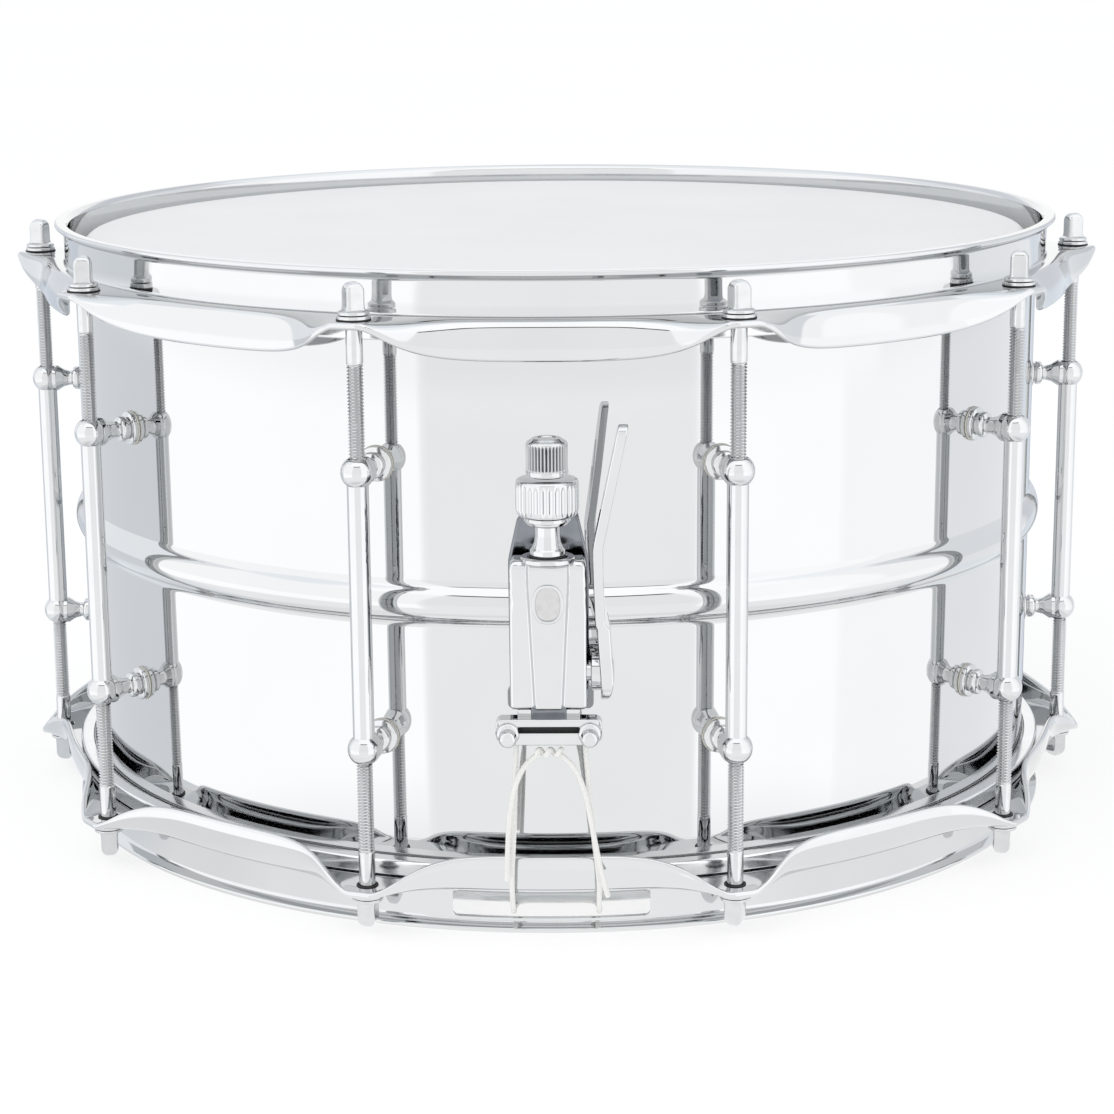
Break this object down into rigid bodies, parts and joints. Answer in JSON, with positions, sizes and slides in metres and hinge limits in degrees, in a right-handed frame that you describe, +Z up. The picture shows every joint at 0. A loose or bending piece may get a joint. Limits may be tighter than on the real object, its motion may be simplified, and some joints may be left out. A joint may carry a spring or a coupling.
{
  "type": "snare drum",
  "caption": "Deep chromed steel snare drum with tube lugs, flanged hoops, a coated batter head, snare wires, a throw-off strainer and a butt plate.",
  "frame": {"origin": "centre of the drum on the plane that it stands on, the lip of the snare-side hoop", "axes": "+Z up along the drum's axis towards the batter head; -Y towards the strainer; +X to the right of someone facing the strainer"},
  "size_m": [0.4004, 0.4128, 0.217],
  "materials": {
    "chrome": "polished chrome plate",
    "dark_chrome": "dark chrome plate",
    "steel": "nickel-plated steel",
    "aluminium": "matt extruded",
    "coated_film": "sprayed matt coating on polyester film",
    "clear_film": "hazy clear polyester film",
    "cord": "braided nylon cord",
    "rubber": "matt"
  },
  "bodies": {
    "drum": {"shell": "chrome", "vent_grommet": "chrome", "batter_hoop": "chrome", "snare_side_hoop": "chrome", "batter_head": "coated_film", "batter_flesh_hoop": "aluminium", "snare_side_head": "clear_film", "snare_side_flesh_hoop": "aluminium", "lug_01": "chrome", "lug_02": "chrome", "lug_03": "chrome", "lug_04": "chrome", "lug_05": "chrome", "lug_06": "chrome", "lug_07": "chrome", "lug_08": "chrome", "lug_09": "chrome", "lug_10": "chrome", "strainer_base": "dark_chrome", "lever_pivot": "dark_chrome", "butt_clamp_plate": "chrome", "butt_clamp_jaw": "chrome", "butt_clamp_screw_left": "chrome", "butt_clamp_screw_right": "chrome", "snare_wires": "steel", "snare_cord_butt": "cord"},
    "throw_lever": {"throw_lever": "chrome"},
    "strainer_slide": {"strainer_slide": "chrome", "knob_washer": "rubber"},
    "adjust_knob": {"adjust_knob": "chrome"},
    "lock_knob": {"lock_knob": "chrome"},
    "cord_clamp": {"strainer_clamp_plate": "chrome", "strainer_clamp_jaw": "chrome", "strainer_clamp_screw_left": "chrome", "strainer_clamp_screw_right": "chrome", "snare_cord_front": "cord", "cord_knot": "cord", "cord_tail_left": "cord", "cord_tail_right": "cord"},
    "batter_rod_01": {"batter_rod_01": "steel"},
    "batter_rod_02": {"batter_rod_02": "steel"},
    "batter_rod_03": {"batter_rod_03": "steel"},
    "batter_rod_04": {"batter_rod_04": "steel"},
    "batter_rod_05": {"batter_rod_05": "steel"},
    "batter_rod_06": {"batter_rod_06": "steel"},
    "batter_rod_07": {"batter_rod_07": "steel"},
    "batter_rod_08": {"batter_rod_08": "steel"},
    "batter_rod_09": {"batter_rod_09": "steel"},
    "batter_rod_10": {"batter_rod_10": "steel"},
    "snare_rod_01": {"snare_rod_01": "steel"},
    "snare_rod_02": {"snare_rod_02": "steel"},
    "snare_rod_03": {"snare_rod_03": "steel"},
    "snare_rod_04": {"snare_rod_04": "steel"},
    "snare_rod_05": {"snare_rod_05": "steel"},
    "snare_rod_06": {"snare_rod_06": "steel"},
    "snare_rod_07": {"snare_rod_07": "steel"},
    "snare_rod_08": {"snare_rod_08": "steel"},
    "snare_rod_09": {"snare_rod_09": "steel"},
    "snare_rod_10": {"snare_rod_10": "steel"}
  },
  "joints": [
    {"name": "throw_lever_swing", "type": "hinge", "parent": "drum", "child": "throw_lever", "pos_m": [0.018, -0.1865, 0.0895], "axis": [1, 0, 0], "range_deg": [0, 100]},
    {"name": "strainer_drop", "type": "slide", "parent": "drum", "child": "strainer_slide", "axis": [0, 0, -1], "range_m": [0, 0.0065], "deforming": ["snare_cord_front"]},
    {"name": "adjust_knob_turn", "type": "hinge", "parent": "strainer_slide", "child": "adjust_knob", "pos_m": [0, -0.1946, 0.1475], "axis": [0, 0, 1], "range_deg": [-1080, 1080]},
    {"name": "clamp_fine_adjust", "type": "slide", "parent": "strainer_slide", "child": "cord_clamp", "axis": [0, 0, 1], "range_m": [-0.0024, 0.0024]},
    {"name": "lock_knob_turn", "type": "hinge", "parent": "adjust_knob", "child": "lock_knob", "pos_m": [0, -0.1946, 0.1602], "axis": [0, 0, 1], "range_deg": [0, 540]},
    {"name": "batter_rod_01_turn", "type": "hinge", "parent": "drum", "child": "batter_rod_01", "pos_m": [0.0598, -0.18403, 0.1745], "axis": [0, 0, 1], "continuous": true},
    {"name": "batter_rod_02_turn", "type": "hinge", "parent": "drum", "child": "batter_rod_02", "pos_m": [0.15654, -0.11374, 0.1745], "axis": [0, 0, 1], "continuous": true},
    {"name": "batter_rod_03_turn", "type": "hinge", "parent": "drum", "child": "batter_rod_03", "pos_m": [0.1935, 0, 0.1745], "axis": [0, 0, 1], "continuous": true},
    {"name": "batter_rod_04_turn", "type": "hinge", "parent": "drum", "child": "batter_rod_04", "pos_m": [0.15654, 0.11374, 0.1745], "axis": [0, 0, 1], "continuous": true},
    {"name": "batter_rod_05_turn", "type": "hinge", "parent": "drum", "child": "batter_rod_05", "pos_m": [0.0598, 0.18403, 0.1745], "axis": [0, 0, 1], "continuous": true},
    {"name": "batter_rod_06_turn", "type": "hinge", "parent": "drum", "child": "batter_rod_06", "pos_m": [-0.0598, 0.18403, 0.1745], "axis": [0, 0, 1], "continuous": true},
    {"name": "batter_rod_07_turn", "type": "hinge", "parent": "drum", "child": "batter_rod_07", "pos_m": [-0.15654, 0.11374, 0.1745], "axis": [0, 0, 1], "continuous": true},
    {"name": "batter_rod_08_turn", "type": "hinge", "parent": "drum", "child": "batter_rod_08", "pos_m": [-0.1935, 0, 0.1745], "axis": [0, 0, 1], "continuous": true},
    {"name": "batter_rod_09_turn", "type": "hinge", "parent": "drum", "child": "batter_rod_09", "pos_m": [-0.15654, -0.11374, 0.1745], "axis": [0, 0, 1], "continuous": true},
    {"name": "batter_rod_10_turn", "type": "hinge", "parent": "drum", "child": "batter_rod_10", "pos_m": [-0.0598, -0.18403, 0.1745], "axis": [0, 0, 1], "continuous": true},
    {"name": "snare_rod_01_turn", "type": "hinge", "parent": "drum", "child": "snare_rod_01", "pos_m": [0.0598, -0.18403, 0.0425], "axis": [0, 0, -1], "continuous": true},
    {"name": "snare_rod_02_turn", "type": "hinge", "parent": "drum", "child": "snare_rod_02", "pos_m": [0.15654, -0.11374, 0.0425], "axis": [0, 0, -1], "continuous": true},
    {"name": "snare_rod_03_turn", "type": "hinge", "parent": "drum", "child": "snare_rod_03", "pos_m": [0.1935, 0, 0.0425], "axis": [0, 0, -1], "continuous": true},
    {"name": "snare_rod_04_turn", "type": "hinge", "parent": "drum", "child": "snare_rod_04", "pos_m": [0.15654, 0.11374, 0.0425], "axis": [0, 0, -1], "continuous": true},
    {"name": "snare_rod_05_turn", "type": "hinge", "parent": "drum", "child": "snare_rod_05", "pos_m": [0.0598, 0.18403, 0.0425], "axis": [0, 0, -1], "continuous": true},
    {"name": "snare_rod_06_turn", "type": "hinge", "parent": "drum", "child": "snare_rod_06", "pos_m": [-0.0598, 0.18403, 0.0425], "axis": [0, 0, -1], "continuous": true},
    {"name": "snare_rod_07_turn", "type": "hinge", "parent": "drum", "child": "snare_rod_07", "pos_m": [-0.15654, 0.11374, 0.0425], "axis": [0, 0, -1], "continuous": true},
    {"name": "snare_rod_08_turn", "type": "hinge", "parent": "drum", "child": "snare_rod_08", "pos_m": [-0.1935, 0, 0.0425], "axis": [0, 0, -1], "continuous": true},
    {"name": "snare_rod_09_turn", "type": "hinge", "parent": "drum", "child": "snare_rod_09", "pos_m": [-0.15654, -0.11374, 0.0425], "axis": [0, 0, -1], "continuous": true},
    {"name": "snare_rod_10_turn", "type": "hinge", "parent": "drum", "child": "snare_rod_10", "pos_m": [-0.0598, -0.18403, 0.0425], "axis": [0, 0, -1], "continuous": true}
  ],
  "couplings": [
    {"joint": "throw_lever_swing", "follows": "strainer_drop", "rad_per_m": 268.5},
    {"joint": "adjust_knob_turn", "follows": "clamp_fine_adjust", "rad_per_m": -7853.9}
  ]
}
